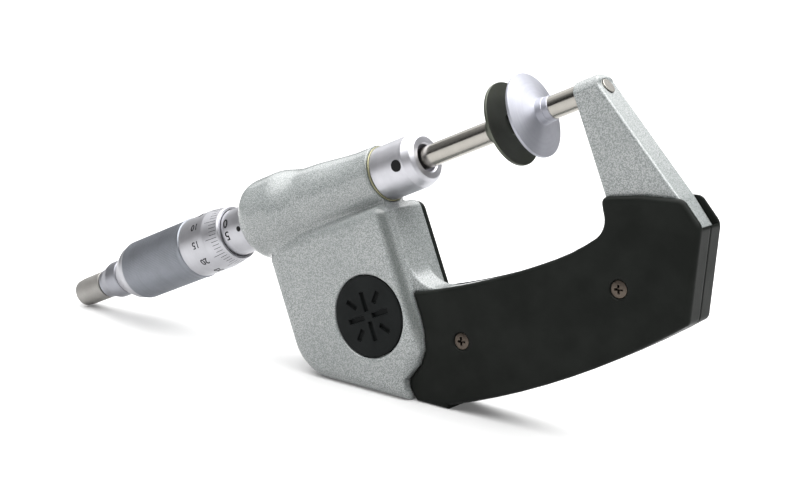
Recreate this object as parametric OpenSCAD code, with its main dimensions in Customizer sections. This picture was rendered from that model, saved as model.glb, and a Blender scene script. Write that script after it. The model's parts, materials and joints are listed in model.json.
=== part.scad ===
// Digital disc micrometer, 0 to 25 mm, with a non-rotating spindle, seen standing on the lower edge
// of its frame and on the ratchet knob.
// The parts are drawn along the spindle axis: +X runs from the anvil face to the thimble, +Z away
// from the bow of the frame and +Y to the back, where the battery is. posed() then leans the whole
// tool over until it rests on the floor plane.

/* [Measuring faces] */
// Opening between the two measuring faces at rest
gap = 5.4; // [5:0.1:5.8]
// Radius of the measuring discs
disc_r = 10; // [9:0.5:10]
// Rim thickness of the discs
disc_rim = 0.7; // [0.5:0.1:1]
// Radius of the spindle and of the anvil pin
spindle_r = 2.7; // [2.6:0.05:2.7]

/* [Frame] */
// Thickness of the bow and the anvil arm
arm_t = 7.8; // [7.4:0.1:8]
// Back of the battery block, measured from the spindle axis
block_back = 8; // [8:0.1:8.4]
// Front of the electronics block, measured from the spindle axis
block_front = 8.3; // [8.2:0.1:8.6]
// Thickness of the moulded covers
cover_t = 1.7; // [1.5:0.1:2]
// Lean of the spindle axis when the tool stands on its edge
lean = 25; // [25:1:25]

/* [Thimble and ratchet] */
// Front edge of the thimble at rest
thimble_x = 97; // [97:0.1:97.4]
// Radius of the graduated barrel of the thimble
thimble_r = 8.1; // [8:0.05:8.2]
// Radius of the grip ring
grip_r = 8.25; // [8.2:0.05:8.4]
// Far end of the ratchet knob
knob_end = 161.5; // [160:0.5:163]
// Radius of the ratchet knob
knob_r = 4; // [3.9:0.05:4.1]

/* [Battery] */
// Radius of the battery cap
cap_r = 10.1; // [9.8:0.1:10.2]
// Radius of the button cell
cell_r = 5.8; // [5.7:0.05:5.8]
// Height of the button cell
cell_h = 5.4; // [5.2:0.1:5.4]

/* [Hidden] */
$fn = 64;

half_t = arm_t / 2;
cover_y = half_t + cover_t;
// Anvil arm, whose tip is arched over the anvil
arm_in = -13.7;
arm_out = -21.2;
arm_slope = 0.326;
tip_z = 3.15;
tip_arch = 4.25;
anvil_step = -19;
pin_r = 2;
// Bush and barrel
bush_nose = 31;
bush_joint = 44.4;
bush_r = 6.75;
bush_end = 56.5;
bush_recess_r = 3.45;
bush_screw_x = 35.8;
bush_screw_r = 1.45;
ring_w = 0.5;
stem_r = 6;
barrel_round = 82;
barrel_end = 88.9;
barrel_max = 10.75;
cavity_start = 66;
cavity_r = 7.4;
shoulder_x = 86.6;
// Throat of the frame
wall_x = 43;
riser_x = 44.6;
corner_r = 9;
throat_mid = 9;
throat_low = -32.8;
throat_arc = 194;
// Battery block
block_left = 82.9;
block_r = 12.5;
block_top = -7.7;
battery_x = 56.35;
battery_z = -32;
cell_room_r = 6.2;
cap_stem_r = 8.5;
cap_seat = 6.5;
cell_y = -0.6;
// Screw and sleeves
screw_r = 3;
tail_r = 2.2;
sleeve_r = 6.3;
sleeve_end = 118.6;
sleeve_hole_x = 90.6;
nut_tube_r = 5;
nut_thread_r = 4.6;
thimble_bore = 6.5;
ball_seat = 59.2;
coupling_x = 63.5;
tail_x = 134;
neck_x = 142;
knob_x = 151;
run = 0.03;
key_x = 52.5;
stator_x = 80.4;
stator_w = 1.8;
rotor_x = 82.8;
rotor_w = 2;
flange_x = 85.2;
// Keys on the front
key_r = 2.4;
key_z = -37;
key_stand = 0.6;
display_y = -block_front - cover_t;

// Where the leaning tool touches the floor: the knob's lower end corner sets the height
knob_end_r = knob_r - 0.25;
rest = knob_end * sin(lean) + knob_end_r * cos(lean);
// Middle of the leaning tool's outline along the floor
center_x = 51.1;

// Height of the floor plane under a point of the spindle axis
function rest_z(x) = (x * sin(lean) - rest) / cos(lean);
function arc(cx, cz, r, a0, a1, n) = [for (i = [0:n]) let (a = a0 + (a1 - a0) * i / n)
    [cx + r * cos(a), cz + r * sin(a)]];
function bow(x, mid, low, r) = low + r - sqrt(r * r - (x - mid) * (x - mid));
function throat_z(x) = bow(x, throat_mid, throat_low, throat_arc);
function smooth(t) = t <= 0 ? 0 : t >= 1 ? 1 : t * t * (3 - 2 * t);

// Outer bottom of the bow
foot_mid = 20;
foot_low = -59.2;
foot_arc = 213;
function foot_z(x) = bow(x, foot_mid, foot_low, foot_arc);

module posed() {
    translate([-center_x, 0, rest]) rotate([0, lean, 0]) children();
}

// A rod along the spindle axis
module rod(x0, x1, r) {
    translate([x0, 0, 0]) rotate([0, 90, 0]) cylinder(h = x1 - x0, r = r);
}

// A tube along the spindle axis
module tube(x0, x1, r, bore) {
    difference() {
        rod(x0, x1, r);
        rod(x0 - 1, x1 + 1, bore);
    }
}

// A turned piece from a list of [x, radius] points
module turned(profile) {
    rotate([0, 90, 0]) rotate_extrude($fn = 96) polygon([for (p = profile) [p[1], p[0]]]);
}

// A slab of the outline in the X-Z plane, from y0 to y1
module slab(y0, y1) {
    translate([0, y1, 0]) rotate([90, 0, 0]) linear_extrude(y1 - y0) children();
}

// A round boss or hole along Y
module pin_y(x, z, y0, y1, r) {
    translate([x, y0, z]) rotate([-90, 0, 0]) cylinder(h = y1 - y0, r = r);
}

// A box given by its two corners
module block(low, high) {
    translate(low) cube(high - low);
}

// Outline of the moulded covers on the bow
cover_top = [[-14.7, -24.3], [-15.4, -23.6], [-31.2, -28.8], [-31.9, -29.7]];
cover_outer = [[-33.9, -35.6], [-24.9, -53.6], [-23.2, -54.7]];
cover_foot = [for (x = [-20:7:43]) [x, foot_z(x)]];
cover_heel = [[43.2, rest_z(43.2) + 0.05], [51.6, rest_z(51.6) + 0.05], [52.4, -54], [52.5, -49.9]];
cover_wrap = [[50.3, -48.1], [46.7, -46.3], [44.8, -43.8], [43.6, -40.5], [43.2, -36], [43.2, -30.5]];
cover_inner = [for (x = [42.5:-4:-9.5]) [x, throat_z(x) + 0.15]];
cover_points = concat(cover_top, cover_outer, cover_foot, cover_heel, cover_wrap, cover_inner,
    [[-11.2, -30], [-13, -28.1], [-14.3, -26]]);
lip = 1.2;
lip_gap = 1.3;

module cover_outline() {
    polygon(cover_points);
}

// The part of the cover outline that its turned-in lip covers
module lip_outline() {
    difference() {
        cover_outline();
        offset(delta = -lip) cover_outline();
        polygon([[-14, -20], [-40, -20], [-40, -35.6], [-32, -35.6], [-24, -50], [0, -53], [42, -54],
            [46, -52], [60, -52], [60, -20]]);
    }
}

// Outline of the bow and the arm between the covers
arm_points = [[arm_in, 0], [arm_in, -26.4]];
corner_points = arc(arm_in + 4.5, -26.6, 4.5, 180, 255, 6);
bottom_points = [for (x = [-7:4:33]) [x, throat_z(x)]];
fillet_points = arc(wall_x - corner_r, throat_z(wall_x - corner_r) + corner_r, corner_r, 273, 360, 8);
bow_points = concat(arm_points, corner_points, bottom_points, fillet_points,
    [[wall_x, -7], [60, -7], [60, rest_z(60)], [45, rest_z(45) + lip_gap]],
    [for (x = [40:-7:-20]) [x, foot_z(x) + lip_gap]],
    [[-23.9, -52.5], [-32.4, -35.6], [arm_out + arm_slope * -28, -28], [arm_out, 0]]);

// Side view of the arm's tip above the spindle axis
tip_out = arm_out + arm_slope * tip_z;
tip_points = [[arm_in, -1], [arm_in, tip_z], [tip_out + 1.6, tip_z], [tip_out + 0.6, tip_z - 0.45],
    [tip_out, tip_z - 1.5], [arm_out - arm_slope, -1]];

// Outline of the battery and electronics block; its rounded corner runs into the floor plane
block_mid = block_left - block_r;
block_corner = arc(block_mid, rest_z(block_mid) + block_r / cos(lean), block_r, lean - 88, 0, 8);
block_points = concat([[wall_x, -6], [wall_x, -38], [45, -44.7], [50.5, -50], [52.8, rest_z(52.8)]],
    block_corner, [[block_left, -8], [80, -6]]);
block_round = 3;

// Radius of the enamelled barrel: slim at the bush, wide over the encoder, rounded at its end
barrel_slim = 7.4;
barrel_mid = 8.9;
barrel_tip = sleeve_r + 0.4;
function round_off(t) = sqrt(max(0, 1 - pow(t, 2.6)));
function barrel_r(x) = x < barrel_round
    ? barrel_slim + (barrel_mid - barrel_slim) * smooth((x - 48) / 20)
        + (barrel_max - barrel_mid) * smooth((x - 67) / 10)
    : barrel_tip + (barrel_max - barrel_tip) * round_off((x - barrel_round) / (barrel_end - barrel_round));
barrel_profile = concat([[bush_joint, 0], [bush_joint, barrel_slim]],
    [for (x = [46:2.5:81]) [x, barrel_r(x)]], [for (x = [barrel_round:0.69:88.4]) [x, barrel_r(x)]],
    [[barrel_end - 0.1, barrel_r(barrel_end - 0.1)], [barrel_end, barrel_tip], [barrel_end, 0]]);

room_y = -2.6;

module frame() {
    color([0.78, 0.8, 0.79]) posed() difference() {
        union() {
            slab(-half_t, half_t) polygon(bow_points);
            intersection() {
                slab(-half_t, half_t) polygon(tip_points);
                translate([0, 0, tip_z - tip_arch]) rod(arm_out - 1, arm_in, tip_arch);
            }
            turned(barrel_profile);
            hull() {
                slab(-block_front, block_back - block_round) polygon(block_points);
                slab(block_back - block_round, block_back)
                    offset(delta = -block_round * 0.8) polygon(block_points);
            }
            // Heel behind the lower part of the display plate
            slab(-block_front, -half_t) polygon([[riser_x, -36], [riser_x, rest_z(riser_x + 1.6) + 0.05],
                [54, rest_z(54)], [54, -36]]);
        }
        // Seats of the two moulded covers
        slab(half_t, 20) cover_outline();
        slab(-block_front - 1, -half_t) intersection() {
            cover_outline();
            translate([-60, -70]) square([60 + riser_x, 60]);
        }
        slab(-half_t - 0.2, half_t + 0.2) lip_outline();
        block([wall_x - 1, -block_front - 1, -51], [riser_x, -half_t, -30.4]);
        // Pocket around the bush in front of the barrel
        rod(wall_x - 1, bush_joint, bush_r + 0.3);
        // Anvil seat, bush seat, encoder room, sleeve seat
        rod(arm_out - 2, arm_in + 1, pin_r);
        rod(anvil_step, arm_in + 1, spindle_r);
        rod(bush_joint - 5, cavity_start + 1, stem_r);
        rod(cavity_start, shoulder_x, cavity_r);
        rod(shoulder_x - 1, barrel_end + 1, sleeve_r);
        // Electronics room, open to the front
        block([46.5, -block_front - 1, -42], [75, room_y, -13]);
        block([70, -block_front - 1, -36], [80, room_y, -13]);
        // Battery room, open to the back
        pin_y(battery_x, battery_z, cell_y - 1, 4, cell_room_r);
        pin_y(battery_x, battery_z, 2.6, 8, cap_stem_r + 0.06);
        pin_y(battery_x, battery_z, cap_seat, 9, cap_r + 0.15);
        // Holes of the cover screws
        for (s = screw_spots) pin_y(s[0], s[1], 0.5, half_t + 1, shank_r);
    }
}

// A thin lapped disc with a conical back and a hub, its face at x = 0 and its hub towards -X
hub_r = 3.1;
hub_end = 6;
pin_depth = 3.5;
relief_r = 2.2;
relief_depth = 0.6;
module disc() {
    difference() {
        turned([[0, 0], [0, disc_r], [-disc_rim, disc_r], [-2.6, hub_r + 0.5], [-3.2, hub_r],
            [-hub_end, hub_r - 0.1], [-hub_end, 0]]);
        rod(-hub_end - 1, -hub_end + pin_depth, pin_r);
        // Lapping relief in the middle of the face
        rod(-relief_depth, 1, relief_r);
    }
}

module anvil_disc() {
    color([0.8, 0.8, 0.85]) posed() disc();
}

module anvil() {
    color([0.6, 0.6, 0.6]) posed() union() {
        rod(arm_out + 0.4, anvil_step, pin_r);
        rod(anvil_step, -hub_end, spindle_r);
        rod(-hub_end, -hub_end + pin_depth, pin_r);
    }
}

module spindle_disc() {
    color([0.35, 0.37, 0.36]) posed() translate([gap, 0, 0]) mirror([1, 0, 0]) disc();
}

spindle_end = coupling_x - 0.6;
nose_r = 1.5;
groove_start = 32;
groove_end = 59;
module spindle() {
    color([0.6, 0.6, 0.6]) posed() difference() {
        union() {
            rod(gap + hub_end, spindle_end, spindle_r);
            rod(gap + hub_end - pin_depth, gap + hub_end, pin_r);
        }
        // Keyway that stops the spindle from turning
        block([groove_start, -3.5, -0.83], [groove_end, -1.95, 0.83]);
        // Seat of the screw's nose
        rod(ball_seat, spindle_end + 1, nose_r + 0.06);
    }
}

ball_r = 0.9;
module thrust_ball() {
    color("silver") posed() translate([ball_seat + ball_r, 0, 0]) sphere(r = ball_r, $fn = 32);
}

guide_r = 0.75;
module spindle_bush() {
    color([0.75, 0.75, 0.8]) posed() difference() {
        turned([[bush_nose, 0], [bush_nose, 5.3], [bush_nose + 0.3, 5.75], [bush_nose + 0.75, 6.1],
            [bush_nose + 2.9, bush_r], [bush_joint - ring_w, bush_r], [bush_joint - ring_w, stem_r],
            [bush_end, stem_r], [bush_end, 0]]);
        rod(bush_nose - 1, bush_end + 1, spindle_r + run);
        rod(bush_nose - 1, bush_nose + 3, bush_recess_r);
        pin_y(bush_screw_x, 0, 3.2, 8, bush_screw_r);
        pin_y(key_x, 0, -7, -2, guide_r);
    }
}

module bush_ring() {
    color([0.6, 0.58, 0.45]) posed() tube(bush_joint - ring_w, bush_joint, bush_r + 0.25, stem_r);
}

module bush_screw() {
    color([0.15, 0.15, 0.15]) posed() difference() {
        pin_y(bush_screw_x, 0, 3.3, 5.9, bush_screw_r);
        translate([bush_screw_x, 4.6, 0]) rotate([-90, 0, 0]) cylinder(h = 3, r = 0.7, $fn = 6);
    }
}

module guide_key() {
    color("silver") posed() pin_y(key_x, 0, -5.9, -2, guide_r);
}

nut_x = 119.6;
nut_end = 124;
thread_x = 98;
module inner_sleeve() {
    color([0.7, 0.66, 0.5]) posed() difference() {
        union() {
            rod(flange_x, shoulder_x, cavity_r);
            rod(shoulder_x - 0.5, nut_x - 0.6, nut_tube_r);
            rod(nut_x - 1, nut_end + 1, nut_thread_r);
        }
        rod(flange_x - 1, thread_x + 0.5, screw_r + 0.4);
        rod(thread_x, nut_end + 2, screw_r + run);
    }
}

module adjusting_nut() {
    color([0.55, 0.55, 0.55]) posed() difference() {
        tube(nut_x, nut_end, 6.1, nut_thread_r);
        // Spanner slots
        block([nut_end - 1.2, -8, -0.6], [nut_end + 1, 8, 0.6]);
    }
}

module sleeve() {
    color([0.78, 0.78, 0.8]) posed() difference() {
        tube(shoulder_x, sleeve_end, sleeve_r, nut_tube_r);
        pin_y(sleeve_hole_x, 0, nut_tube_r, 8, 0.75);
    }
}

module encoder_stator() {
    color([0.2, 0.4, 0.25]) posed() tube(stator_x, stator_x + stator_w, cavity_r, 3.6);
}

module encoder_rotor() {
    color([0.75, 0.6, 0.3]) posed() union() {
        tube(rotor_x, rotor_x + rotor_w, 6.8, screw_r + 0.05);
        // Tongue that runs in the screw's keyway
        block([rotor_x, -0.42, screw_r - 0.55], [rotor_x + rotor_w, 0.42, screw_r + 0.5]);
    }
}

module feed_screw() {
    color([0.55, 0.55, 0.58]) posed() difference() {
        union() {
            rod(ball_seat + 2 * ball_r + 0.02, coupling_x, nose_r);
            rod(coupling_x, tail_x, screw_r);
            rod(tail_x, neck_x + 2, tail_r);
        }
        // Keyway of the encoder rotor
        block([coupling_x - 1, -0.5, screw_r - 0.65], [rotor_x + 8, 0.5, screw_r + 1]);
        rod(neck_x - 4, neck_x + 3, ratchet_screw_r);
    }
}

ratchet_screw_r = 1.2;
grip_x = 111.5;
grip_end = 135.5;
grip_bore = 7.3;
module thimble() {
    color([0.8, 0.8, 0.82]) posed() difference() {
        turned([[thimble_x, 0], [thimble_x, 7.1], [thimble_x + 0.5, 7.35],
            [thimble_x + 5.6, thimble_r], [grip_x, thimble_r], [grip_x, grip_bore], [grip_end, grip_bore],
            [grip_end, 7.95], [grip_end + 1.5, 7.6], [grip_end + 3, 6.9], [grip_end + 4.5, 5.9],
            [neck_x, 5.1], [neck_x, 0]]);
        rod(thimble_x - 1, tail_x, thimble_bore);
        rod(tail_x - 1, neck_x + 1, tail_r);
    }
}

module thimble_grip() {
    color([0.5, 0.53, 0.58]) posed() difference() {
        turned([[grip_x, 0], [grip_x, grip_r - 0.15], [grip_x + 0.6, grip_r + 0.1],
            [grip_x + 1.6, grip_r], [grip_end - 0.5, grip_r], [grip_end, 8], [grip_end, 0]]);
        rod(grip_x - 1, grip_end + 1, grip_bore);
    }
}

ring_r = 3.2;
ring_x = neck_x + 5.5;
screw_hole_r = 1.26;
spring_pitch = 1.25;
module ratchet_neck() {
    color([0.72, 0.74, 0.8]) posed() difference() {
        turned([[neck_x, 0], [neck_x, 5.1], [neck_x + 2, 5.3], [neck_x + 4.5, 5.15],
            [neck_x + 7.2, 4.2], [knob_x - 0.6, 4.1], [knob_x - 0.6, 0]]);
        rod(neck_x - 1, neck_x + 2, tail_r);
        rod(neck_x + 1, knob_x, screw_hole_r);
        rod(ring_x, knob_x, ring_r);
    }
}

// Twelve square face teeth between two radii, standing on a ring
tooth_half = 0.28;
module teeth(x0, x1, r_in, r_out, phase) {
    for (i = [0:11]) rotate([i * 30 + phase, 0, 0])
        block([x0, -tooth_half, r_in], [x1, tooth_half, r_out]);
}

module ratchet_ring() {
    color([0.6, 0.6, 0.6]) posed() union() {
        tube(ring_x, neck_x + 7.4, ring_r, screw_hole_r);
        teeth(neck_x + 7.3, neck_x + 7.95, 1.8, 3, 0);
    }
}

module ratchet_disc() {
    color([0.6, 0.6, 0.6]) posed() union() {
        tube(neck_x + 8.6, neck_x + 10.2, 2.9, screw_hole_r);
        teeth(neck_x + 8, neck_x + 8.7, 1.8, 2.85, 15);
    }
}

module ratchet_spring() {
    color([0.5, 0.5, 0.55]) posed() for (i = [0:3])
        translate([neck_x + 10.7 + i * spring_pitch, 0, 0]) rotate([0, 90, 0])
            rotate_extrude($fn = 48) translate([2.2, 0]) circle(r = 0.3, $fn = 16);
}

module ratchet_screw() {
    color([0.35, 0.35, 0.35]) posed() difference() {
        union() {
            rod(neck_x - 3.5, knob_end - 3.5, ratchet_screw_r);
            rod(knob_end - 3.5, knob_end - 1.2, 2.3);
        }
        block([knob_end - 2, -0.35, -3], [knob_end, 0.35, 3]);
    }
}

module ratchet_knob() {
    color([0.68, 0.67, 0.64]) posed() difference() {
        turned([[knob_x, 0], [knob_x, knob_r - 0.1], [knob_x + 0.4, knob_r], [knob_end - 2, knob_r - 0.1],
            [knob_end - 0.6, knob_end_r], [knob_end, knob_end_r], [knob_end, 0]]);
        rod(knob_x - 1, knob_end - 4.5, 2.95);
        rod(knob_x, knob_end - 3, screw_hole_r);
        rod(knob_end - 3.55, knob_end + 1, 2.5);
    }
}

screw_spots = [[33.6, -44.2], [-10.9, -43]];
head_r = 2;
shank_r = 1.1;
head_y = half_t + 0.7;
slot_half = 0.25;
slot_reach = 1.2;
module rear_cover() {
    color([0.13, 0.14, 0.14]) posed() difference() {
        union() {
            slab(half_t, cover_y) cover_outline();
            slab(0.1, half_t + 0.1) lip_outline();
        }
        for (s = screw_spots) {
            pin_y(s[0], s[1], half_t - 1, cover_y + 1, shank_r);
            pin_y(s[0], s[1], head_y, cover_y + 1, head_r);
        }
    }
}

module cover_screws() {
    color([0.3, 0.24, 0.2]) posed() for (s = screw_spots) difference() {
        union() {
            pin_y(s[0], s[1], 0.8, half_t + 0.8, shank_r);
            pin_y(s[0], s[1], head_y, cover_y - 0.1, head_r);
        }
        for (r = [[slot_reach, slot_half], [slot_half, slot_reach]])
            block([s[0] - r[0], cover_y - 0.8, s[1] - r[1]], [s[0] + r[0], cover_y, s[1] + r[1]]);
    }
}

// Outline of the raised display face on the front
display_corner = [for (i = [len(block_corner) - 1:-1:0]) block_corner[i]];
display_points = concat([[wall_x, -10], [wall_x + 2.3, block_top], [80.5, block_top], [block_left, -10.2]],
    display_corner, [[52.8, rest_z(52.8) + 0.05], [46, rest_z(46) + 0.05], [wall_x, -50]]);
window_low = [50.5, -27];
window_high = [76, -15];
key_xs = [53, 61.5, 70];

module front_cover() {
    color([0.15, 0.16, 0.17]) posed() difference() {
        union() {
            slab(-cover_y, -half_t) intersection() {
                cover_outline();
                translate([-60, -70]) square([60 + riser_x, 60]);
            }
            slab(-half_t - 0.1, -0.1) lip_outline();
            slab(display_y, -block_front) polygon(display_points);
            // Riser between the bow plate and the display face
            block([wall_x, display_y, -50], [riser_x, -half_t, -30.5]);
        }
        slab(display_y - 1, -block_front + 1) translate(window_low)
            square(window_high - window_low);
        for (x = key_xs) pin_y(x, key_z, display_y - 1, -block_front + 1, key_r + 0.1);
    }
}

module display_window() {
    color([0.6, 0.65, 0.65]) posed() slab(display_y + 0.2, -block_front - 0.2)
        translate(window_low) square(window_high - window_low);
}

module display_glass() {
    color([0.7, 0.75, 0.68]) posed() block([window_low[0] - 1, -7.6, window_low[1] - 1],
        [window_high[0] + 1, -5.6, window_high[1] + 1]);
}

board_y = -4.6;
module circuit_board() {
    color([0.1, 0.35, 0.2]) posed() union() {
        block([47, board_y, -41.5], [74.5, board_y + 1, -13.5]);
        block([70.5, board_y, -35.5], [79.5, board_y + 1, -13.5]);
    }
}

module key_pad() {
    color([0.3, 0.3, 0.3]) posed() union() {
        block([49, -6, -41], [73, -5.2, -33]);
        for (x = key_xs) pin_y(x, key_z, -7, -5.5, 1.8);
    }
}

// A round key: a cap through the display face and a flange behind it
module key(x) {
    posed() union() {
        pin_y(x, key_z, display_y - key_stand, -block_front + 0.1, key_r);
        pin_y(x, key_z, -block_front + 0.05, -7.6, key_r + 0.5);
    }
}

module mode_button() {
    color([0.25, 0.3, 0.5]) key(key_xs[0]);
}

module zero_button() {
    color([0.6, 0.25, 0.2]) key(key_xs[1]);
}

module hold_button() {
    color([0.25, 0.3, 0.5]) key(key_xs[2]);
}

module battery_cell() {
    color([0.75, 0.75, 0.75]) posed() union() {
        pin_y(battery_x, battery_z, cell_y + 0.4, cell_y + cell_h, cell_r);
        pin_y(battery_x, battery_z, cell_y, cell_y + 0.5, cell_r - 1.1);
    }
}

module battery_contact() {
    color([0.7, 0.6, 0.3]) posed() union() {
        block([battery_x - 4, -1.6, battery_z - 1], [battery_x + 2, -1.35, battery_z + 1]);
        block([battery_x + 1.2, -1.4, battery_z - 1], [battery_x + 2, cell_y, battery_z + 1]);
    }
}

star_half = 0.62;
star_depth = 0.9;
module star_slot(turn, r0, r1) {
    translate([battery_x, 0, battery_z]) rotate([0, turn, 0])
        block([r0, block_back - star_depth, -star_half], [r1, block_back + 1, star_half]);
}

seal_y = 5.25;
seal_bore = 7.9;
module battery_cap() {
    color([0.1, 0.1, 0.11]) posed() difference() {
        union() {
            pin_y(battery_x, battery_z, cap_seat, block_back, cap_r);
            pin_y(battery_x, battery_z, 3, cap_seat + 0.1, cap_stem_r);
        }
        // Room of the cell and groove of the seal
        pin_y(battery_x, battery_z, 2, 4.9, 6.4);
        difference() {
            pin_y(battery_x, battery_z, seal_y - 0.05, seal_y + 0.95, 9);
            pin_y(battery_x, battery_z, seal_y - 0.25, seal_y + 1.15, seal_bore - 0.05);
        }
        // Star of slots for a coin or a driver: four long arms and four short ones
        for (a = [0:90:270]) star_slot(a, 1.3, 6.2);
        for (a = [45:90:315]) star_slot(a, 3.9, 7.1);
    }
}

module cap_seal() {
    color([0.05, 0.05, 0.05]) posed() difference() {
        pin_y(battery_x, battery_z, seal_y, seal_y + 0.9, cap_stem_r);
        pin_y(battery_x, battery_z, seal_y - 0.25, 7, seal_bore);
    }
}

frame();
anvil();
anvil_disc();
spindle_bush();
bush_ring();
bush_screw();
guide_key();
sleeve();
inner_sleeve();
adjusting_nut();
encoder_stator();
encoder_rotor();
rear_cover();
front_cover();
cover_screws();
display_window();
display_glass();
circuit_board();
key_pad();
battery_cell();
battery_contact();
battery_cap();
cap_seal();
mode_button();
zero_button();
hold_button();
spindle();
spindle_disc();
thrust_ball();
thimble();
thimble_grip();
feed_screw();
ratchet_neck();
ratchet_ring();
ratchet_disc();
ratchet_spring();
ratchet_screw();
ratchet_knob();
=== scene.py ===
import json
import math

import bpy
import numpy as np
from mathutils import Matrix, Vector


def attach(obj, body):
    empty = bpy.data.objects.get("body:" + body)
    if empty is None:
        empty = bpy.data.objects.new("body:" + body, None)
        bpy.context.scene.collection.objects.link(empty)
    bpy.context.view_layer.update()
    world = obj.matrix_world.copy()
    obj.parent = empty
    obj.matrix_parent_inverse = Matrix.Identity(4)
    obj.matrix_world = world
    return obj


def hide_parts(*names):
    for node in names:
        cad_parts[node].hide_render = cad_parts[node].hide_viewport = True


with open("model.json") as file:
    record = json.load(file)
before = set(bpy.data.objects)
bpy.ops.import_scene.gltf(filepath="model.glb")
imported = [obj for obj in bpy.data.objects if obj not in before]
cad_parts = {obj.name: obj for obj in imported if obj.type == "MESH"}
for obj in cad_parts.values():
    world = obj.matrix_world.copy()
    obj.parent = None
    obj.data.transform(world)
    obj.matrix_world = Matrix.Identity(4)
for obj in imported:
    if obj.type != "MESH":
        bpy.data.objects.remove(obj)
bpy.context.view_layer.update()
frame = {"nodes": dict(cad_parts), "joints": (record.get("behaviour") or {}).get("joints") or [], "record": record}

# A digital disc micrometer standing on the edge of its frame and on its ratchet knob. All shapes
# are drawn in millimetres on the spindle axis: +X from the anvil face to the ratchet, +Y to the
# back of the tool, +Z away from the bow. TO_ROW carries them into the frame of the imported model.
record = frame["record"]
MM = 0.001

body_of = {n: body for body, nodes in record["behaviour"]["bodies"].items() for n in nodes}
slot_of = {part["node"]: part["material_slot"] for part in record["subparts"]}
turn = next(j for j in frame["joints"] if j["name"] == "thimble_turn")
anvil_face = next(m for m in record["mounts"] if m["name"] == "anvil_face")
AXIS = Vector(turn["axis"]).normalized()
BACK = Vector((0, 1, 0))
UP = AXIS.cross(BACK)
pivot = Vector(turn["pos_m"])
ORIGIN = pivot + AXIS * AXIS.dot(Vector(anvil_face["pos_m"]) - pivot)
TO_ROW = np.array([AXIS, BACK, UP]).T
LEAN = math.atan2(-AXIS.z, AXIS.x)


def row_points(points):
    """Points in millimetres on the spindle axis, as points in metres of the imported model."""
    return np.asarray(points, float) @ TO_ROW.T * MM + np.array(ORIGIN)


def span(node):
    """Lowest and highest x, y, z of a CAD node, in millimetres on the spindle axis."""
    mesh = frame["nodes"][node].data
    points = np.array([v.co for v in mesh.vertices])
    points = (points - np.array(ORIGIN)) @ TO_ROW / MM
    return points.min(0), points.max(0)


# ---------------------------------------------------------------------------------------------
# Sizes shared with the CAD model, in millimetres
# ---------------------------------------------------------------------------------------------
HALF_T = 3.9
BOW_EDGE = 0.6
COVER_Y = 5.6
COVER_RIM = 1.1
COVER_GAP = 0.06
FIT = 0.02
FAR = 20
BLOCK_BACK = 8.0
BLOCK_RIM = 3.0
EDGE_IN = 0.8
BLOCK_FRONT = -8.3
DISPLAY_Y = -10.0
ARM_IN = -13.7
ARM_OUT = -21.2
ARM_SLOPE = 0.326
WALL_X = 43.0
RISER_X = 44.6
BLOCK_LEFT = 82.9
CORNER_R = 12.5
CORNER_X = BLOCK_LEFT - CORNER_R
BUSH_SEAT_X = 44.4
BUSH_R = 6.75
SLEEVE_X = 86.4
SLEEVE_END = 118.6
SLEEVE_R = 6.3
SPANNER_HOLE = (90.6, 0)
SPANNER_HOLE_R = 0.72
BUSH_SCREW_R = 1.45
BARREL_END = 88.0
BARREL_MAX = 10.75
BARREL_SLIM = 7.4
BARREL_FLAT = 0.4
SHOULDER_X = 82.0
SPINDLE_R = 2.7
PIN_R = 1.7
PIN_SUNK = 0.35
DISC_R = 10.0
DISC_RIM = 0.7
RECESS_R = 2.5
RECESS_DEPTH = 1.5
HUB_LENGTH = 6.0
THIMBLE_FRONT_R = 7.35
THIMBLE_R = 8.1
THIMBLE_BORE = 6.52
GRIP_BORE = 7.3
NECK_R = 5.2
BATTERY = (56.35, -32.0)
CAP_R = 10.1
CAP_FLANGE_Y = 6.5
CAP_NECK_R = 8.5
CELL_ROOM_R = 6.2
STAR_HALF = 0.62
STAR_DEPTH = 0.9
KEY_XS = (53.0, 61.5, 70.0)
KEY_Z = -37.0
KEY_R = 2.4
SCREWS = ((33.6, -44.2), (-10.9, -43.0))
SCREW_R = 1.98
SCREW_CROWN = 7
CROSS_LENGTH, CROSS_WIDTH, CROSS_DEPTH = 1.15, 0.28, 1.0
WINDOW = ((50.5, -27.0), (76.0, -15.0))
FLOOR_Z = -float(ORIGIN.z) / MM


def floor_z(x):
    """Height of the floor plane under a point of the spindle axis."""
    return (x * math.sin(LEAN) + FLOOR_Z) / math.cos(LEAN)


def bow(x, middle, low, radius):
    return low + radius - math.sqrt(radius ** 2 - (x - middle) ** 2)


def throat_z(x):
    return bow(x, 9, -32.8, 194)


def foot_z(x):
    return bow(x, 20, -59.2, 213)


def lifted_throat_z(x):
    """The throat's edge, which rises a little more than its bow towards the anvil's arm."""
    return throat_z(x) + 0.008 * max(0, 2 - x) ** 2


# ---------------------------------------------------------------------------------------------
# Outlines
# ---------------------------------------------------------------------------------------------
def rounded(points, closed=True, steps=5):
    """An outline whose points may carry a third value, the radius of that corner."""
    plain = [complex(p[0], p[1]) for p in points]
    out = []
    for i, p in enumerate(points):
        here = plain[i]
        ends = not closed and i in (0, len(points) - 1)
        if len(p) < 3 or ends:
            out.append((here.real, here.imag))
            continue
        before, after = plain[i - 1] - here, plain[(i + 1) % len(points)] - here
        u, v = before / abs(before), after / abs(after)
        half = math.acos(max(-1, min(1, (u * v.conjugate()).real))) / 2
        cut = min(p[2] / math.tan(half), 0.49 * min(abs(before), abs(after)))
        radius = cut * math.tan(half)
        centre = here + (u + v) / abs(u + v) * radius / math.sin(half)
        start, end = here + u * cut - centre, here + v * cut - centre
        sweep = math.atan2((end / start).imag, (end / start).real)
        for s in range(steps + 1):
            q = centre + start * complex(math.cos(sweep * s / steps), math.sin(sweep * s / steps))
            out.append((q.real, q.imag))
    return out


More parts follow.
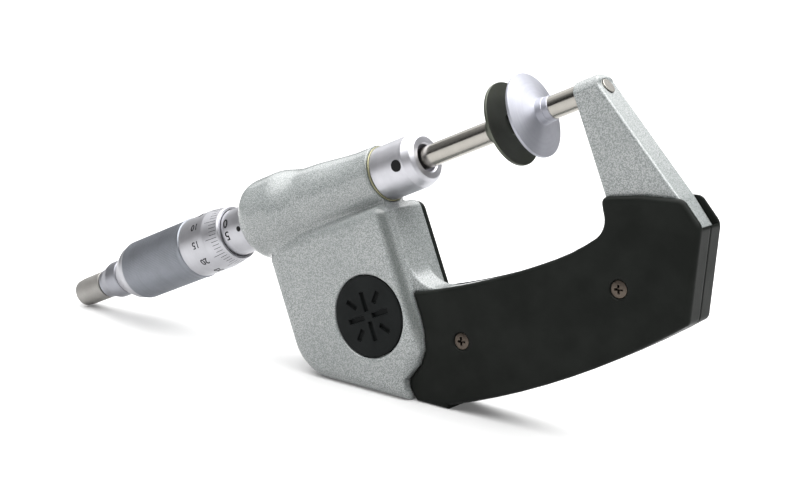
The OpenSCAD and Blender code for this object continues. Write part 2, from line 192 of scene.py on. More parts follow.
def arc(cx, cz, radius, a0, a1, steps):
    angles = [math.radians(a0 + (a1 - a0) * i / steps) for i in range(steps + 1)]
    return [(cx + radius * math.cos(a), cz + radius * math.sin(a)) for a in angles]


cover_outline = rounded(
    [(-13.3, -22.6, 1.8), (-22.5, -25.1, 14), (-31.7, -28.8, 2.2), (-33.9, -35.6, 3.0), (-24.4, -54.5, 1.6)]
    + [(x, foot_z(x)) for x in range(-20, 44, 7)]
    + [(43.2, floor_z(43.2) + 0.05), (51.8, floor_z(51.8) + 0.05, 0.8), (52.5, -51.5, 1.2),
       (51.9, -49.3, 0.9), (47.2, -46.7, 2.5), (44.7, -43.6, 2.5), (43.5, -39.5), (43.2, -36),
       (43.2, throat_z(43.2) + 0.15, 0.7)]
    + [(x, lifted_throat_z(x) + 0.15) for x in np.arange(42.2, -7, -4)]
    + arc(-7.5, -25.9, 5.2, 257, 180, 9))

TIP_Z = 3.15
TIP_ARCH = 4.25
bow_outline = (
    [(ARM_IN, TIP_Z), (ARM_IN, -22.6)]
    + arc(-7.5, -25.9, 5.45, 180, 257, 9)
    + [(x, lifted_throat_z(x)) for x in range(-5, 33, 4)]
    + arc(WALL_X - 9, throat_z(WALL_X - 9) + 9, 9, 273, 360, 9)
    + [(WALL_X, -9), (60, -9), (60, floor_z(60)), (45, floor_z(45) + 1.3)]
    + [(x, foot_z(x) + 1.3) for x in range(40, -21, -7)]
    + [(-23.9, -52.5), (-32.4, -35.6), (ARM_OUT + ARM_SLOPE * -28, -28)]
    + arc(ARM_OUT + ARM_SLOPE * TIP_Z + 1.6, TIP_Z - 1.75, 1.75, 198, 90, 5))

block_outline = rounded(
    [(WALL_X, -7.2, 2.5), (WALL_X, -38, 2), (44.9, -44.6, 3), (50.6, -49.6, 3),
     (52.8, floor_z(52.8), 0.3)]
    + arc(CORNER_X, floor_z(CORNER_X) + CORNER_R / math.cos(LEAN), CORNER_R, -65, 0, 10)
    + [(BLOCK_LEFT, -10.5, 2), (80, -7.2)])

display_outline = rounded(
    [(WALL_X, -7.8, 2.4), (BLOCK_LEFT, -7.8, 3)]
    + arc(CORNER_X, floor_z(CORNER_X) + CORNER_R / math.cos(LEAN), CORNER_R - 0.05, 0, -65, 10)
    + [(46, floor_z(46) + 0.1, 1), (WALL_X, -50, 1)])


# ---------------------------------------------------------------------------------------------
# Fields: a field is a function of x, y, z that is negative inside the shape
# ---------------------------------------------------------------------------------------------
electronics_room = [(46.5, -42), (75, -42), (75, -36), (80, -36), (80, -13), (46.5, -13)]
ROOM_Y = -2.6


def outline_distance(points, x, z):
    shape = np.broadcast(x, z).shape
    nearest = np.full(shape, 1e9)
    inside = np.zeros(shape, bool)
    for (x0, z0), (x1, z1) in zip(points, points[1:] + points[:1]):
        dx, dz = x1 - x0, z1 - z0
        along = np.clip(((x - x0) * dx + (z - z0) * dz) / (dx * dx + dz * dz + 1e-12), 0, 1)
        nearest = np.minimum(nearest, (x - x0 - along * dx) ** 2 + (z - z0 - along * dz) ** 2)
        if z0 != z1:
            inside ^= ((z0 > z) != (z1 > z)) & (x < x0 + (z - z0) * dx / dz)
    return np.where(inside, -1, 1) * np.sqrt(nearest)


def crease(a, b, rim):
    """The part inside both a and b, with the edge between them rounded to the radius rim."""
    a, b = a + rim, b + rim
    return np.minimum(np.maximum(a, b), 0) + np.hypot(np.maximum(a, 0), np.maximum(b, 0)) - rim


def slab(points, y0, y1, rim=0.0):
    return lambda x, y, z: crease(outline_distance(points, x, z),
                                  np.abs(y - (y0 + y1) / 2) - (y1 - y0) / 2, rim)


def rod(x0, x1, radius, rim=0.0):
    return lambda x, y, z: crease(np.hypot(y, z) - radius,
                                  np.abs(x - (x0 + x1) / 2) - (x1 - x0) / 2, rim)


def post(at, y0, y1, radius, rim=0.0):
    return lambda x, y, z: crease(np.hypot(x - at[0], z - at[1]) - radius,
                                  np.abs(y - (y0 + y1) / 2) - (y1 - y0) / 2, rim)


def turned(profile):
    """A solid of revolution from a rising list of (x, radius), with soft walls."""
    xs, rs = zip(*profile)
    slopes = np.abs(np.gradient(rs, xs))

    def field(x, y, z):
        slope = np.interp(x, xs, slopes)
        wall = (np.hypot(y, z) - np.interp(x, xs, rs)) / np.sqrt(1 + slope ** 2)
        return crease(wall, np.abs(x - (xs[0] + xs[-1]) / 2) - (xs[-1] - xs[0]) / 2, 0.3)
    return field


def half_space(axis, side, offset):
    """Everything on one side of a plane: side -1 keeps what is below offset along the axis."""
    return lambda x, y, z: ((x, y, z)[axis] - offset) * -side


def soft_min(a, b, k):
    if not k:
        return np.minimum(a, b)
    h = np.maximum(k - np.abs(a - b), 0) / k
    return np.minimum(a, b) - h * h * k / 4


def join(a, b, k=0.0):
    return lambda x, y, z: soft_min(a(x, y, z), b(x, y, z), k)


def cut(a, b, k=0.0, grow=0.0):
    """a without b, where b is first grown by a clearance."""
    return lambda x, y, z: -soft_min(-a(x, y, z), b(x, y, z) - grow, k)


def both(a, b):
    return lambda x, y, z: np.maximum(a(x, y, z), b(x, y, z))


CORNERS = np.array([(i, j, k) for i in (0, 1) for j in (0, 1) for k in (0, 1)])


def surface(field, low, high, step):
    """Surface nets over the field, with the points then drawn onto the surface itself."""
    low = np.array(low, float)
    counts = np.ceil((np.array(high) - low) / step).astype(int) + 1
    xs, ys, zs = [low[i] + step * np.arange(counts[i]) for i in range(3)]
    value = field(xs[:, None, None], ys[None, :, None], zs[None, None, :])
    value = np.broadcast_to(value, counts)
    inside = value < 0
    n = counts - 1
    total = sum(inside[i:i + n[0], j:j + n[1], k:k + n[2]].astype(np.int8) for i, j, k in CORNERS)
    cells = np.argwhere((total > 0) & (total < 8))
    index = np.full(n, -1)
    index[tuple(cells.T)] = np.arange(len(cells))
    place, hits = np.zeros((len(cells), 3)), np.zeros(len(cells))
    for axis in range(3):
        unit = np.eye(3, dtype=int)[axis]
        for a in CORNERS[CORNERS[:, axis] == 0]:
            va, vb = value[tuple((cells + a).T)], value[tuple((cells + a + unit).T)]
            crossed = (va < 0) != (vb < 0)
            t = np.where(crossed, va / np.where(crossed, va - vb, 1), 0)
            place += (a + t[:, None] * unit) * crossed[:, None]
            hits += crossed
    points = low + step * (cells + place / hits[:, None])
    faces = []
    for axis in range(3):
        u, v = np.eye(3, dtype=int)[(axis + 1) % 3], np.eye(3, dtype=int)[(axis + 2) % 3]
        unit = np.eye(3, dtype=int)[axis]
        edge = np.argwhere(np.diff(inside.astype(np.int8), axis=axis) != 0)
        keep = np.all((edge - u - v >= 0) | (unit == 1), axis=1) & np.all(edge < n, axis=1)
        edge = edge[keep]
        quad = np.stack([index[tuple((edge - d).T)] for d in (0 * u, u, u + v, v)], 1)
        flip = ~inside[tuple(edge.T)]
        quad[flip] = quad[flip][:, ::-1]
        faces.append(quad)
    reach = step * 0.1
    for _ in range(2):
        here = field(*points.T)
        slope = np.stack([(field(*(points + reach * e).T) - here) / reach for e in np.eye(3)], 1)
        move = here[:, None] * slope / np.maximum((slope ** 2).sum(1), 0.2)[:, None]
        points -= np.clip(move, -step / 2, step / 2)
    return points, np.concatenate(faces).tolist()


# ---------------------------------------------------------------------------------------------
# Turned shapes
# ---------------------------------------------------------------------------------------------
def held(line, closed, hold=0.06):
    """Adds a point just inside each end of every longer stretch, to keep the shading of its faces."""
    out = []
    for i, (x, r) in enumerate(line):
        out.append((x, r))
        if i + 1 == len(line) and not closed:
            break
        x1, r1 = line[(i + 1) % len(line)]
        length = math.hypot(x1 - x, r1 - r)
        if length > 5 * hold:
            out += [(x + (x1 - x) * t, r + (r1 - r) * t) for t in (hold / length, 1 - hold / length)]
    return out


def lathe(profile, turns=160, closed=False, wave=None):
    """Turns a profile of (x, radius[, corner radius]) about the spindle axis. wave(angle, x) is
    added to the radius of the points whose radius isn't 0."""
    line = held(rounded(profile, closed=closed), closed)
    angles = np.linspace(0, 2 * math.pi, turns, endpoint=False)
    points, rings = [], []
    for x, radius in line:
        if radius < 1e-6:
            rings.append([len(points)] * turns)
            points.append((x, 0, 0))
            continue
        rings.append(list(range(len(points), len(points) + turns)))
        lift = wave(angles, x) if wave else 0 * angles
        for a, e in zip(angles, lift):
            points.append((x, (radius + e) * math.cos(a), (radius + e) * math.sin(a)))
    pairs = list(zip(rings, rings[1:] + rings[:1])) if closed else list(zip(rings, rings[1:]))
    faces = []
    for first, second in pairs:
        for i in range(turns):
            j = (i + 1) % turns
            face = [first[i], first[j], second[j], second[i]]
            faces.append([v for k, v in enumerate(face) if v != face[k - 1]])
    return np.array(points), faces


def along_y(shape, at):
    """A turned shape stood up along +Y at a point of the X-Z plane."""
    points, faces = shape
    return np.stack([points[:, 2] + at[0], points[:, 0], points[:, 1] + at[1]], 1), faces


def brick(low, high):
    points = [[(low, high)[c[i]][i] for i in range(3)] for c in CORNERS]
    faces = [(0, 1, 3, 2), (4, 6, 7, 5), (0, 4, 5, 1), (2, 3, 7, 6), (0, 2, 6, 4), (1, 5, 7, 3)]
    return np.array(points, float), faces


def gather(shapes):
    """Several shapes as one."""
    points, faces, start = [], [], 0
    for p, f in shapes:
        points.append(np.asarray(p, float))
        faces += [[v + start for v in face] for face in f]
        start += len(p)
    return np.concatenate(points), faces


def wrapped(shape, x, angle, radius):
    """A flat shape (right, up, out) laid on a cylinder about the axis, its middle at x and angle.
    Angle 0 is at the back and turns towards +Z; up on the shape runs the other way round."""
    points, faces = shape
    around = angle - points[:, 1] / radius
    out = radius + points[:, 2]
    return np.stack([x + points[:, 0], out * np.cos(around), out * np.sin(around)], 1), faces


# ---------------------------------------------------------------------------------------------
# Materials
# ---------------------------------------------------------------------------------------------
def node(tree, kind, inputs=None, **settings):
    made = tree.nodes.new("ShaderNode" + kind)
    for key, value in settings.items():
        setattr(made, key, value)
    for key, value in (inputs or {}).items():
        if isinstance(value, bpy.types.NodeSocket):
            tree.links.new(value, made.inputs[key])
        else:
            made.inputs[key].default_value = value
    return made


def axis_coordinates(tree):
    """Object coordinates turned into millimetres on the spindle axis."""
    place = node(tree, "TexCoord").outputs["Object"]
    shift = -(TO_ROW.T @ np.array(ORIGIN)) / MM
    return node(tree, "Mapping", {"Vector": place, "Scale": (1 / MM,) * 3,
                                  "Rotation": (0, -LEAN, 0), "Location": shift}).outputs[0]


def scaled(tree, vector, scale):
    return node(tree, "Mapping", {"Vector": vector, "Scale": scale}).outputs[0]


def noise(tree, vector, scale, detail=2.0, roughness=0.5):
    return node(tree, "TexNoise", {"Vector": vector, "Scale": scale, "Detail": detail,
                                   "Roughness": roughness}).outputs["Fac"]


def ramp(tree, value, low, high, to_low=0.0, to_high=1.0):
    return node(tree, "MapRange", {"Value": value, "From Min": low, "From Max": high,
                                   "To Min": to_low, "To Max": to_high}).outputs[0]


def mixed(tree, factor, a, b):
    made = node(tree, "Mix", data_type="RGBA")
    for name, value in (("A", a), ("B", b)):
        socket = next(s for s in made.inputs if s.name == name and s.type == "RGBA")
        if isinstance(value, bpy.types.NodeSocket):
            tree.links.new(value, socket)
        else:
            socket.default_value = (*value, 1)
    tree.links.new(factor, made.inputs[0])
    return next(s for s in made.outputs if s.type == "RGBA")


def bumped(tree, shader, height, strength, distance):
    """Bump after whatever bump the shader already has."""
    inputs = {"Height": height, "Strength": strength, "Distance": distance * MM}
    if shader.inputs["Normal"].links:
        inputs["Normal"] = shader.inputs["Normal"].links[0].from_socket
    made = node(tree, "Bump", inputs)
    tree.links.new(made.outputs[0], shader.inputs["Normal"])


def blank(name, color, metallic=0.0, **sockets):
    material = bpy.data.materials.new(name)
    material.use_nodes = True
    tree = material.node_tree
    shader = tree.nodes["Principled BSDF"]
    shader.inputs["Base Color"].default_value = (*color, 1)
    shader.inputs["Metallic"].default_value = metallic
    for key, value in sockets.items():
        shader.inputs[key.replace("_", " ")].default_value = value
    return material, tree, shader, axis_coordinates(tree)


def drive(tree, shader, name, socket):
    tree.links.new(socket, shader.inputs[name])


CELL_SCALE, GRAIN_SCALE = 4.2, 4.0
PALE_ENAMEL, PALER_ENAMEL = (0.28, 0.296, 0.292), (0.32, 0.334, 0.33)
# The second colour is painted shade, laid along the block's edge between its back face and the wall.
GROOVE_COLOR, PAINTED_EDGE_SHADE = (0.14, 0.155, 0.155), (0.06, 0.068, 0.064)


def enamel():
    """Hammertone enamel: pale grey-green cells with darker grooves, and painted shade along the block's rounded
    edge between its back face and the wall.
    """
    material, tree, shader, mm = blank("enamel", (0.42, 0.44, 0.44), Coat_Weight=0.6, Coat_Roughness=0.16)
    worms = noise(tree, mm, CELL_SCALE, 1.5, 0.5)
    fine = noise(tree, mm, GRAIN_SCALE, 2.0, 0.6)
    broad = noise(tree, mm, 0.08, 2.0)
    pale = mixed(tree, ramp(tree, broad, 0.3, 0.7), PALE_ENAMEL, PALER_ENAMEL)
    color = mixed(tree, ramp(tree, worms, 0.42, 0.58), pale, GROOVE_COLOR)
    # Painted shade: within about 1.8 mm of the block's edge between its back face and the wall, the enamel turns
    # darker. This stands in for the dark surroundings that the rounded edge reflects.
    apart = node(tree, "VectorMath", {0: mm, 1: (WALL_X + EDGE_IN, BLOCK_BACK - EDGE_IN, 0)},
                 operation="SUBTRACT").outputs[0]
    flat = node(tree, "VectorMath", {0: apart, 1: (1, 1, 0)}, operation="MULTIPLY").outputs[0]
    reach = node(tree, "VectorMath", {0: flat}, operation="LENGTH").outputs["Value"]
    color = mixed(tree, ramp(tree, reach, 0.5, 1.8, 0.7, 0), color, PAINTED_EDGE_SHADE)
    drive(tree, shader, "Base Color", color)
    drive(tree, shader, "Roughness", ramp(tree, fine, 0.3, 0.7, 0.24, 0.36))
    bumped(tree, shader, worms, 0.2, -0.1)
    bumped(tree, shader, fine, 0.15, 0.08)
    return material


def moulded(name, color, roughness, grain=5.0, depth=0.03, tint=0.25):
    """Moulded plastic with a fine spark-eroded grain and slight handling marks."""
    material, tree, shader, mm = blank(name, color, Specular_IOR_Level=0.05)
    fine, broad = noise(tree, mm, grain, 3.0, 0.6), noise(tree, mm, 0.12, 3.0)
    light = tuple(min(1, c * (1 + tint) + 0.002) for c in color)
    drive(tree, shader, "Base Color", mixed(tree, ramp(tree, broad, 0.35, 0.65), color, light))
    drive(tree, shader, "Roughness", ramp(tree, broad, 0.3, 0.7, roughness - 0.06, roughness + 0.06))
    bumped(tree, shader, fine, 0.5, depth)
    return material


def turned_metal(name, color, roughness, rings=6.0, depth=0.004, tint=0.12, spread=0.08):
    """Turned or ground metal: rings about the spindle axis, with slightly uneven polish."""
    material, tree, shader, mm = blank(name, color, 1.0)
    thread = noise(tree, scaled(tree, mm, (rings, 0.05, 0.05)), 1.0, 4.0, 0.7)
    broad = noise(tree, mm, 0.25, 3.0)
    dark = tuple(c * (1 - tint) for c in color)
    drive(tree, shader, "Base Color", mixed(tree, ramp(tree, broad, 0.3, 0.7), dark, color))
    drive(tree, shader, "Roughness", ramp(tree, thread, 0.3, 0.7, roughness - spread, roughness + spread))
    bumped(tree, shader, thread, 0.6, depth)
    return material


def faced_metal(name, color, roughness, grain=3.0, depth=0.006):
    """Metal with an even satin or blasted finish."""
    material, tree, shader, mm = blank(name, color, 1.0)
    fine, broad = noise(tree, mm, grain, 4.0, 0.6), noise(tree, mm, 0.2, 2.0)
    dark = tuple(c * 0.85 for c in color)
    drive(tree, shader, "Base Color", mixed(tree, ramp(tree, broad, 0.3, 0.7), dark, color))
    drive(tree, shader, "Roughness", ramp(tree, fine, 0.3, 0.7, roughness - 0.05, roughness + 0.05))
    bumped(tree, shader, fine, 0.5, depth)
    return material


def laminate():
    """Green circuit board with a faint weave and paler tracks."""
    material, tree, shader, mm = blank("board", (0.02, 0.12, 0.06), Roughness=0.4)
    tracks = ramp(tree, noise(tree, scaled(tree, mm, (1.4, 0.2, 0.3)), 1.0, 0.0), 0.52, 0.55)
    drive(tree, shader, "Base Color", mixed(tree, tracks, (0.02, 0.12, 0.06), (0.05, 0.24, 0.12)))
    bumped(tree, shader, noise(tree, mm, 6.0), 0.3, 0.02)
    return material


def clear(name, color, ior, transmission, roughness):
    material, tree, shader, mm = blank(name, color, Transmission_Weight=transmission, IOR=ior)
    smear = noise(tree, mm, 0.15, 3.0)
    drive(tree, shader, "Roughness", ramp(tree, smear, 0.4, 0.7, roughness, roughness + 0.08))
    return material


def liquid_crystal():
    material, tree, shader, mm = blank("lcd_glass", (0.36, 0.4, 0.33), Roughness=0.25)
    lines = noise(tree, scaled(tree, mm, (8, 1, 8)), 1.0, 0.0)
    drive(tree, shader, "Base Color", mixed(tree, ramp(tree, lines, 0.3, 0.7),
                                            (0.34, 0.38, 0.31), (0.4, 0.44, 0.37)))
    return material


materials = {
    "enamel": enamel(),
    "ground_steel": turned_metal("ground_steel", (0.36, 0.345, 0.315), 0.2, rings=9, spread=0.06),
    "disc_steel": turned_metal("disc_steel", (0.37, 0.375, 0.415), 0.5, rings=5),
    # Painted shade: the lapped steel's colour is made very dark to stand in for the dark surroundings that the
    # lapped face reflects.
    "lapped_steel": faced_metal("lapped_steel", (0.1, 0.106, 0.088), 0.42, grain=4),
    "bush_metal": turned_metal("bush_metal", (0.5, 0.5, 0.53), 0.42, rings=7),
    "ring_metal": turned_metal("ring_metal", (0.26, 0.25, 0.16), 0.4),
    "black_steel": faced_metal("black_steel", (0.02, 0.02, 0.02), 0.5),
    "satin_chrome": turned_metal("satin_chrome", (0.45, 0.45, 0.475), 0.42, rings=4),
    "nut_brass": turned_metal("nut_brass", (0.72, 0.58, 0.32), 0.35),
    "board": laminate(),
    "contact_metal": faced_metal("contact_metal", (0.75, 0.62, 0.36), 0.3),
    "cover_plastic": moulded("cover_plastic", (0.007, 0.008, 0.007), 0.4),
    "bronze_screw": faced_metal("bronze_screw", (0.1, 0.082, 0.068), 0.4),
    "window_glass": clear("window_glass", (0.93, 0.96, 0.95), 1.5, 1.0, 0.04),
    "lcd_glass": liquid_crystal(),
    "seal_rubber": moulded("seal_rubber", (0.02, 0.02, 0.02), 0.7, grain=4),
    "cell_metal": faced_metal("cell_metal", (0.7, 0.7, 0.68), 0.3),
    "cap_plastic": moulded("cap_plastic", (0.007, 0.008, 0.008), 0.36, depth=0.02),
    "key_plastic": moulded("key_plastic", (0.09, 0.1, 0.13), 0.45),
    "zero_plastic": moulded("zero_plastic", (0.28, 0.07, 0.04), 0.45),
    "grip_metal": turned_metal("grip_metal", (0.225, 0.237, 0.262), 0.46, rings=2),
    "neck_metal": turned_metal("neck_metal", (0.31, 0.314, 0.342), 0.45, rings=5),
    "knob_metal": faced_metal("knob_metal", (0.34, 0.33, 0.315), 0.55),
}


# ---------------------------------------------------------------------------------------------
# Pieces
# ---------------------------------------------------------------------------------------------
def piece(name, shape, stands_for, body=None, slot=None, sharp=32):
    """Makes one piece, lets it ride on the body of the CAD node it stands for and hides the node.
    A piece that only adds to a node names its body and slot instead."""
    points, faces = shape
    mesh = bpy.data.meshes.new(name)
    mesh.from_pydata(row_points(points).tolist(), [], faces)
    mesh.validate()
    mesh.shade_smooth()
    mesh.set_sharp_from_angle(angle=math.radians(sharp))
    made = bpy.data.objects.new(name, mesh)
    bpy.context.scene.collection.objects.link(made)
    slot = slot or slot_of[stands_for]
    mesh.materials.append(materials[slot])
    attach(made, body or body_of[stands_for])
    if stands_for:
        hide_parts(stands_for)
    return made


STEP = 0.34
SMALL_STEP = 0.16


def smooth(t):
    t = min(max(t, 0), 1)
    return t * t * (3 - 2 * t)


def barrel_profile():
    """Slim at the bush, wide over the encoder, rounded at its end."""
    points = [(x, BARREL_SLIM + 1.5 * smooth((x - 48) / 20) + 1.85 * smooth((x - 67) / 10))
              for x in np.arange(BUSH_SEAT_X, SHOULDER_X, 1.2)]
    reach = BARREL_END - SHOULDER_X
    for i in range(16):
        x = SHOULDER_X + reach * math.sin(math.pi / 2 * i / 15)
        share = max(0, 1 - ((x - SHOULDER_X) / reach) ** 3.0) ** 0.5
        points.append((x, SLEEVE_R + BARREL_FLAT + (BARREL_MAX - SLEEVE_R - BARREL_FLAT) * share))
    return points


def frame_field():
    """The casting: arm and bow, block and barrel in one, then everything that is cut into it."""
    bowed = slab(bow_outline, -HALF_T, HALF_T, BOW_EDGE)

    def arch(x, y, z):
        return np.hypot(y, np.maximum(z + TIP_ARCH - TIP_Z, 0)) - TIP_ARCH
    arm = both(bowed, arch)
    block = both(slab(block_outline, -14, BLOCK_BACK, BLOCK_RIM), half_space(1, 1, BLOCK_FRONT))
    body = join(arm, block, 1.0)
    body = join(body, turned(barrel_profile()), 2.0)
    cover_seat = slab(cover_outline, HALF_T, FAR)
    front_seat = both(slab(cover_outline, -FAR, -HALF_T), half_space(0, -1, RISER_X))
    body = cut(cut(body, cover_seat, 0.3, COVER_GAP), front_seat, 0.2, 0.04)
    pocket = rod(WALL_X - 3, BUSH_SEAT_X, BUSH_R + 0.3)
    body = cut(body, pocket, 0.3)
    body = cut(body, rod(SLEEVE_X - 0.4, BARREL_END + 2, SLEEVE_R + FIT), 0.2)
    body = cut(body, rod(ARM_OUT - 2, ARM_IN - 2, PIN_R + 0.05), 0.3)
    body = cut(body, rod(ARM_IN - 2.5, ARM_IN + 2, SPINDLE_R), 0.2)
    body = cut(body, slab(electronics_room, -FAR, ROOM_Y))
    seat = join(post(BATTERY, CAP_FLANGE_Y, 12, CAP_R + 0.22),
                post(BATTERY, 2.6, 8, CAP_NECK_R + 0.06))
    return cut(body, join(seat, post(BATTERY, -1.6, 4, CELL_ROOM_R)), 0.6)


casting = frame_field()
piece("frame_casting", surface(casting, (-35, -11.4, -61.5), (92.5, 11.4, 11.4), STEP), "frame")


# Inside this outline the covers lie on the bow and don't reach round its edge
lip_limit = [(-14, -20), (-40, -20), (-40, -35.6), (-32, -35.6), (-24, -50), (0, -53), (42, -54),
             (46, -52), (60, -52), (60, -20)]


def screw_seat(at):
    return join(post(at, 4.4, 9, 2.12), post(at, 5.45, 9, 2.3), 0.3)


def rear_cover():
    shell = both(slab(cover_outline, -6, COVER_Y, COVER_RIM), half_space(1, 1, COVER_GAP))
    shell = cut(shell, slab(bow_outline, -FAR, HALF_T), 0, FIT)
    shell = cut(shell, slab(lip_limit, -FAR, HALF_T), 0.2, FIT)
    shell = cut(shell, both(slab(block_outline, -FAR, HALF_T), half_space(0, 1, WALL_X)), 0, FIT)
    for at in SCREWS:
        shell = cut(shell, screw_seat(at), 0.15)
    return shell


piece("rear_cover_shell", surface(rear_cover(), (-35, -0.3, -61), (53.5, 6, -22), STEP), "rear_cover")


def front_cover():
    shell = both(slab(cover_outline, -COVER_Y, 6, COVER_RIM), half_space(1, -1, -COVER_GAP))
    shell = cut(shell, slab(bow_outline, -HALF_T, FAR), 0, FIT)
    shell = both(cut(shell, slab(lip_limit, -HALF_T, FAR), 0.2, FIT), half_space(0, -1, RISER_X))
    plate = both(slab(display_outline, DISPLAY_Y, 0, 0.45), half_space(1, -1, BLOCK_FRONT - FIT))
    riser = slab([(WALL_X, -50), (WALL_X, -30.5), (RISER_X, -30.5), (RISER_X, -50)],
                 DISPLAY_Y + 0.5, -HALF_T)
    shell = join(join(shell, plate), riser, 0.3)
    (x0, z0), (x1, z1) = WINDOW
    window = rounded([(x0, z0, 1), (x1, z0, 1), (x1, z1, 1), (x0, z1, 1)])
    shell = cut(shell, slab(window, -FAR, 0), 0.3)
    for x in KEY_XS:
        shell = cut(shell, post((x, KEY_Z), -FAR, 0, KEY_R + 0.1), 0.2)
    return shell


piece("front_cover_shell", surface(front_cover(), (-35, -10.3, -61), (83.5, 0.2, -7), STEP), "front_cover")


def screw_head(at):
    """A cross-recess countersunk screw with a slightly crowned head."""
    top = COVER_Y - 0.08

    def crown(x, y, z):
        return np.sqrt((x - at[0]) ** 2 + (z - at[1]) ** 2 + (y - top + SCREW_CROWN) ** 2) - SCREW_CROWN
    head = both(post(at, 4.5, top + 0.5, SCREW_R, 0.12), crown)
    for turn_angle in (0.3, 0.3 + math.pi / 2):
        c, s = math.cos(turn_angle), math.sin(turn_angle)

        def arm(x, y, z, c=c, s=s):
            u, v = (x - at[0]) * c + (z - at[1]) * s, (z - at[1]) * c - (x - at[0]) * s
            depth = (y - top) * 0.45
            return np.maximum(np.maximum(np.abs(u) - CROSS_LENGTH - depth,
                                         np.abs(v) - CROSS_WIDTH - depth * 0.3), top - CROSS_DEPTH - y)
        head = cut(head, arm, 0.1)
    return surface(head, (at[0] - 2.3, 4.2, at[1] - 2.3), (at[0] + 2.3, 5.9, at[1] + 2.3), SMALL_STEP / 2)


def shank(at):
    return along_y(lathe([(0.8, 0), (0.8, 1.1, 0.3), (4.6, 1.1), (4.6, 0)], 32), at)


piece("cover_screw_set", gather([f(at) for at in SCREWS for f in (screw_head, shank)]), "cover_screws")


def star_slot(angle, r0, r1):
    c, s = math.cos(angle), math.sin(angle)

    def field(x, y, z):
        u = (x - BATTERY[0]) * c + (z - BATTERY[1]) * s
        v = (z - BATTERY[1]) * c - (x - BATTERY[0]) * s
        length = np.abs(u - (r0 + r1) / 2) - (r1 - r0) / 2
        return np.maximum(np.maximum(length, np.abs(v) - STAR_HALF), BLOCK_BACK - STAR_DEPTH - y)
    return field


def battery_cap():
    """A flange and a neck, hollow for the cell, with the seal's groove and a star of eight slots."""
    cap = join(post(BATTERY, CAP_FLANGE_Y, BLOCK_BACK - FIT, CAP_R, 0.35), post(BATTERY, 3, 7, CAP_NECK_R))
    cap = cut(cap, post(BATTERY, 0, 4.9, 6.4))
    cap = cut(cap, cut(post(BATTERY, 5.2, 6.2, 9), post(BATTERY, 5, 6.4, 7.85)))
    for k in range(8):
        r0, r1 = (1.3, 6.2) if k % 2 == 0 else (3.9, 7.1)
        cap = cut(cap, star_slot(math.radians(45 * k), r0, r1), 0.15)
    return cap


x, z = BATTERY
piece("battery_cap_cover", surface(battery_cap(), (x - 10.5, 2.7, z - 10.5), (x + 10.5, 8.3, z + 10.5),
                                   SMALL_STEP * 1.3), "battery_cap")


def disc_profile(face, side):
    """A lapped disc with a conical back and a hub; side is the way from its face to its hub."""
    places = [(RECESS_DEPTH, 0), (RECESS_DEPTH, RECESS_R), (0.4, RECESS_R), (0, RECESS_R + 0.4, 0.05),
              (0, DISC_R, 0.12), (DISC_RIM, DISC_R, 0.15), (2.65, 3.6, 0.3), (2.8, 3.15, 0.1),
              (4.4, 3.05, 0.05), (4.5, 2.92, 0.05), (HUB_LENGTH, 2.9, 0.15), (HUB_LENGTH, 0)]
    return [(face + side * x, *rest) for x, *rest in places]


gap = span("spindle_disc")[0][0]
piece("anvil_disc_turned", lathe(disc_profile(0, -1)), "anvil_disc")
piece("spindle_disc_turned", lathe(disc_profile(gap, 1)), "spindle_disc")
points, faces = lathe([
    (ARM_OUT + PIN_SUNK, 0), (ARM_OUT + PIN_SUNK, PIN_R, 0.1), (-18, PIN_R), (-18, SPINDLE_R),
    (-HUB_LENGTH, SPINDLE_R), (-HUB_LENGTH, 2), (-2.5, 2), (-2.5, 0)])
points[:, 0] += np.where(points[:, 0] < ARM_OUT + 1, ARM_SLOPE * points[:, 2], 0)
piece("anvil_pin", (points, faces), "anvil")


def bush():
    nose = span("spindle_bush")[0][0]
    joint = span("bush_ring")[0][0]
    end = span("spindle_bush")[1][0]
    return lathe([
        (nose + 3, 2.74), (nose + 3, 3.45), (nose + 0.35, 3.45), (nose, 3.8, 0.15), (nose, 5.3, 0.5),
        (nose + 0.75, 6.1, 0.6), (nose + 2.9, BUSH_R - 0.02, 0.1), (joint - 0.1, BUSH_R, 0.15),
        (joint, BUSH_R - 0.15), (joint, 6), (end, 6), (end, 2.74)], closed=True)


piece("spindle_bush_turned", bush(), "spindle_bush")
low, high = span("bush_ring")
piece("bush_ring_turned", lathe([(low[0], 6), (low[0], 7.0, 0.15), (high[0], 7.0, 0.15), (high[0], 6)],
                                closed=True), "bush_ring")

piece("sleeve_turned", lathe([(SLEEVE_X, 5), (SLEEVE_X, SLEEVE_R), (SLEEVE_END, SLEEVE_R, 0.2),
                              (SLEEVE_END, 5)], closed=True), "sleeve")

thimble_x = span("thimble")[0][0]
grip_low, grip_high = span("thimble_grip")
grip_x, grip_end = grip_low[0], grip_high[0]
neck_x = span("ratchet_neck")[0][0]
piece("thimble_turned", lathe([
    (thimble_x, THIMBLE_BORE), (thimble_x, 7.1, 0.08), (thimble_x + 0.5, THIMBLE_FRONT_R, 0.2),
    (thimble_x + 5.6, THIMBLE_R, 3), (grip_x, THIMBLE_R), (grip_x, GRIP_BORE), (grip_end, GRIP_BORE),
    (grip_end, 7.95, 0.1), (grip_end + 1.8, 7.6, 1.5), (grip_end + 4.3, 6.3, 1.5),
    (neck_x - 0.1, 5.0, 0.3), (neck_x, 2.2), (134, 2.2), (134, THIMBLE_BORE)],
    closed=True), "thimble")


def knurl(count, depth, x0, x1):
    """Fine straight knurl between two places along the axis."""
    def wave(angles, x):
        fade = min(max((x - x0) / 0.4, 0), max((x1 - x) / 0.4, 0), 1)
        return fade * depth * (np.abs(np.sin(angles * count / 2)) - 1)
    return wave


